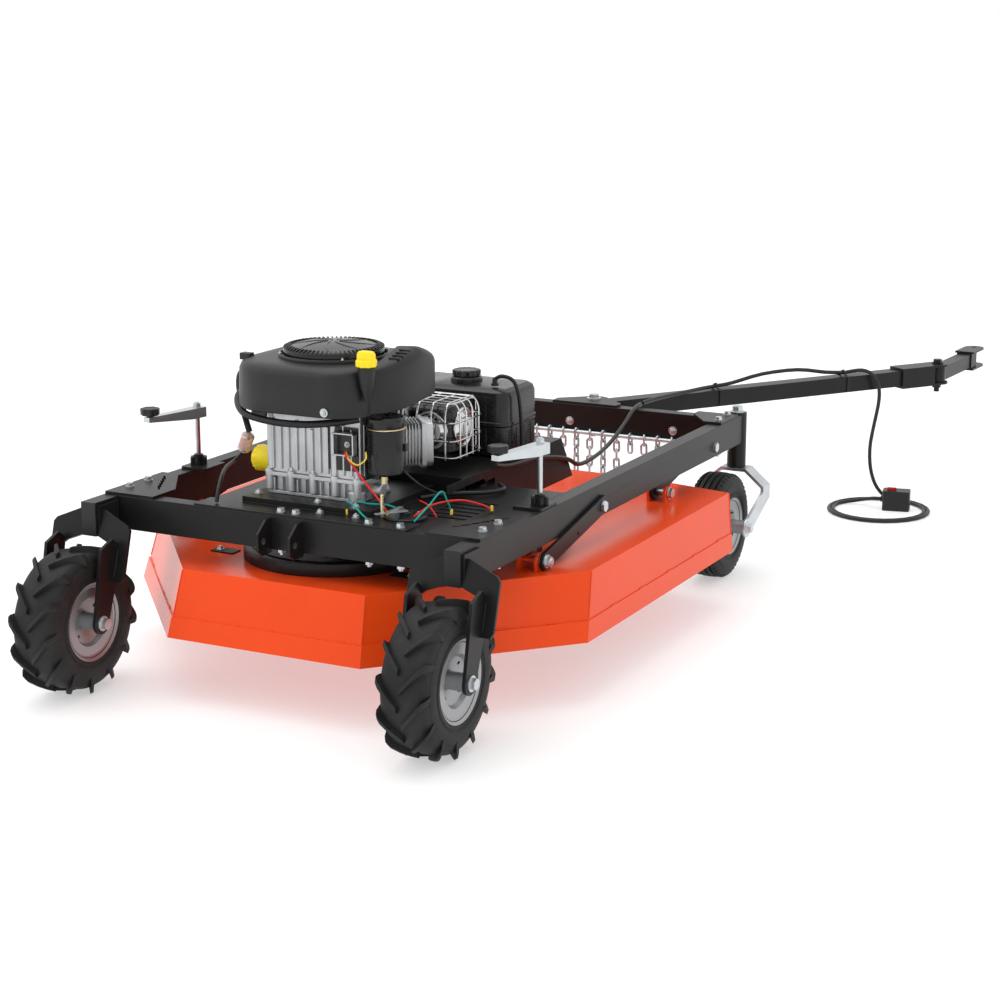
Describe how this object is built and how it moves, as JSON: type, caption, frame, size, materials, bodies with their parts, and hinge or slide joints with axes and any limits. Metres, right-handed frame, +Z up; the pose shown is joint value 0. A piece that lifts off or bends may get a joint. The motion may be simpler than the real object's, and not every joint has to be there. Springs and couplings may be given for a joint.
{
  "type": "tow-behind brush mower",
  "caption": "Tow-behind brush mower: black tube frame on rubber tyres, orange deck on crank-raised links, engine and tank on top, folding tongue.",
  "frame": {"origin": "centre of the footprint, on the ground, without the loose control cable", "axes": "+X to the machine's right, +Y forward along the frame towards the hitch, +Z up"},
  "size_m": [1.3728, 3.1925, 0.7722],
  "materials": {
    "black_paint": "satin powder coat",
    "orange_paint": "gloss powder coat",
    "zinc": "bright zinc plate",
    "alloy": "as cast",
    "rim_paint": "silver paint",
    "tread": "new tread rubber",
    "hose_rubber": "smooth",
    "black_plastic": "fine grained",
    "gloss_black": "moulded",
    "red_plastic": "moulded",
    "yellow_part": "gloss",
    "steel": "bare, ground"
  },
  "bodies": {
    "chassis": {"side_rails": "black_paint", "cross_tubes": "black_paint", "frame_plates": "black_paint", "rail_end_caps": "black_plastic", "rear_forks": "black_paint", "engine_plate": "black_paint", "frame_bolts": "zinc", "crank_mounts": "black_paint", "crankcase": "alloy", "cylinder_heads": "alloy", "blower_housing": "black_plastic", "air_cleaner": "black_plastic", "oil_filter": "yellow_part", "starter_motor": "gloss_black", "carburettor": "black_plastic", "muffler": "black_paint", "muffler_guard": "zinc", "fuel_tank": "black_plastic", "tank_stand": "black_paint", "engine_hoses": "hose_rubber", "regulator": "alloy", "wiring_loom": "hose_rubber", "battery": "black_plastic"},
    "rear_wheel_left": {"rear_tyre_left": "tread", "rear_rim_left": "rim_paint"},
    "rear_wheel_right": {"rear_tyre_right": "tread", "rear_rim_right": "rim_paint"},
    "caster_left": {"caster_fork_left": "zinc"},
    "caster_right": {"caster_fork_right": "zinc"},
    "caster_wheel_left": {"caster_tyre_left": "tread", "caster_rim_left": "rim_paint"},
    "caster_wheel_right": {"caster_tyre_right": "tread", "caster_rim_right": "rim_paint"},
    "rear_link_pair": {"rear_links": "black_paint"},
    "front_link_pair": {"front_links": "black_paint"},
    "deck": {"deck_shell": "orange_paint", "deck_brackets": "orange_paint", "spindle_housing": "steel", "belt_cover": "black_paint", "drive_belt": "hose_rubber"},
    "cutter": {"spindle": "steel", "blade": "steel"},
    "engine_rotor": {"crankshaft": "steel", "rotating_screen": "black_plastic"},
    "screw_foot_left": {"crank_foot_left": "zinc"},
    "screw_foot_right": {"crank_foot_right": "zinc"},
    "crank_left": {"lift_crank_left": "zinc"},
    "crank_right": {"lift_crank_right": "zinc"},
    "knob_left": {"crank_knob_left": "gloss_black"},
    "knob_right": {"crank_knob_right": "gloss_black"},
    "fuel_filler": {"fuel_cap": "black_plastic"},
    "oil_filler": {"oil_cap": "yellow_part"},
    "chain_guard": {"guard_chains": "zinc"},
    "tongue": {"tongue_bar": "black_paint", "tongue_cable": "hose_rubber", "control_cable": "hose_rubber", "cable_coil": "hose_rubber", "control_pod": "black_plastic"},
    "switch": {"pod_switch": "red_plastic"},
    "hitch": {"hitch_arm": "black_paint"}
  },
  "joints": [
    {"name": "rear_wheel_left_spin", "type": "hinge", "parent": "chassis", "child": "rear_wheel_left", "pos_m": [-0.54642, -1.4313, 0.165], "axis": [1, 0, 0], "continuous": true},
    {"name": "caster_left_swivel", "type": "hinge", "parent": "chassis", "child": "caster_left", "pos_m": [-0.54642, 0.2357, 0.272], "axis": [0, 0, 1], "continuous": true},
    {"name": "caster_left_spin", "type": "hinge", "parent": "caster_left", "child": "caster_wheel_left", "pos_m": [-0.54642, 0.0997, 0.14], "axis": [1, 0, 0], "continuous": true},
    {"name": "rear_wheel_right_spin", "type": "hinge", "parent": "chassis", "child": "rear_wheel_right", "pos_m": [0.36558, -1.4313, 0.165], "axis": [1, 0, 0], "continuous": true},
    {"name": "caster_right_swivel", "type": "hinge", "parent": "chassis", "child": "caster_right", "pos_m": [0.36558, 0.2357, 0.272], "axis": [0, 0, 1], "continuous": true},
    {"name": "caster_right_spin", "type": "hinge", "parent": "caster_right", "child": "caster_wheel_right", "pos_m": [0.36558, 0.0997, 0.14], "axis": [1, 0, 0], "continuous": true},
    {"name": "crank_right_turn", "type": "hinge", "parent": "screw_foot_right", "child": "crank_right", "pos_m": [0.35958, -0.9503, 0.411], "axis": [0, 0, 1], "range_deg": [-10800, 0]},
    {"name": "crank_right_rise", "type": "slide", "parent": "chassis", "child": "screw_foot_right", "axis": [0, 0, 1], "range_m": [-0.0762, 0]},
    {"name": "crank_left_rise", "type": "slide", "parent": "chassis", "child": "screw_foot_left", "axis": [0, 0, 1], "range_m": [-0.0762, 0]},
    {"name": "crank_left_turn", "type": "hinge", "parent": "screw_foot_left", "child": "crank_left", "pos_m": [-0.54042, -0.9503, 0.411], "axis": [0, 0, 1], "range_deg": [-10800, 0]},
    {"name": "rear_link_swing", "type": "hinge", "parent": "chassis", "child": "rear_link_pair", "pos_m": [-0.09042, -0.6933, 0.364], "axis": [-1, 0, 0], "range_deg": [-15.58, 0]},
    {"name": "deck_level", "type": "hinge", "parent": "rear_link_pair", "child": "deck", "pos_m": [-0.09042, -0.9853, 0.304], "axis": [-1, 0, 0], "range_deg": [0, 15.58], "deforming": ["drive_belt"]},
    {"name": "front_link_swing", "type": "hinge", "parent": "chassis", "child": "front_link_pair", "pos_m": [-0.09042, 0.0237, 0.364], "axis": [-1, 0, 0], "range_deg": [-15.58, 0]},
    {"name": "knob_left_spin", "type": "hinge", "parent": "crank_left", "child": "knob_left", "pos_m": [-0.56647, -1.09802, 0.56], "axis": [0, 0, 1], "continuous": true},
    {"name": "knob_right_spin", "type": "hinge", "parent": "crank_right", "child": "knob_right", "pos_m": [0.33353, -1.09802, 0.56], "axis": [0, 0, 1], "continuous": true},
    {"name": "blade_spin", "type": "hinge", "parent": "deck", "child": "cutter", "pos_m": [-0.09042, -0.6813, 0.24], "axis": [0, 0, 1], "continuous": true},
    {"name": "engine_spin", "type": "hinge", "parent": "chassis", "child": "engine_rotor", "pos_m": [-0.09042, -1.0613, 0.5], "axis": [0, 0, 1], "continuous": true},
    {"name": "chain_guard_swing", "type": "hinge", "parent": "chassis", "child": "chain_guard", "pos_m": [-0.09042, 0.1387, 0.342], "axis": [1, 0, 0], "range_deg": [-30, 35]},
    {"name": "fuel_cap_turn", "type": "hinge", "parent": "chassis", "child": "fuel_filler", "pos_m": [0.00958, -0.6313, 0.63], "axis": [0, 0, 1], "range_deg": [0, 180]},
    {"name": "oil_cap_turn", "type": "hinge", "parent": "chassis", "child": "oil_filler", "pos_m": [0.06758, -1.1893, 0.74], "axis": [0, 0, 1], "range_deg": [0, 180]},
    {"name": "tongue_swing", "type": "hinge", "parent": "chassis", "child": "tongue", "pos_m": [-0.05042, 0.2237, 0.376], "axis": [0, 0, 1], "range_deg": [0, 69]},
    {"name": "hitch_swing", "type": "hinge", "parent": "tongue", "child": "hitch", "pos_m": [0.6321, 1.21678, 0.389], "axis": [0, 0, 1], "range_deg": [-95, 45]},
    {"name": "pod_switch_flip", "type": "hinge", "parent": "tongue", "child": "switch", "pos_m": [0.56389, 1.02779, 0.057], "axis": [0.9781, 0.2079, 0], "range_deg": [-18, 0]}
  ],
  "couplings": [
    {"joint": "crank_right_rise", "follows": "rear_link_swing", "m_per_rad": 0.28031},
    {"joint": "crank_left_rise", "follows": "rear_link_swing", "m_per_rad": 0.28031},
    {"joint": "crank_right_turn", "follows": "rear_link_swing", "ratio": 693.4},
    {"joint": "crank_left_turn", "follows": "rear_link_swing", "ratio": 693.4},
    {"joint": "deck_level", "follows": "rear_link_swing", "ratio": -1},
    {"joint": "front_link_swing", "follows": "rear_link_swing", "ratio": 1},
    {"joint": "engine_spin", "follows": "blade_spin", "ratio": 1.4522}
  ]
}
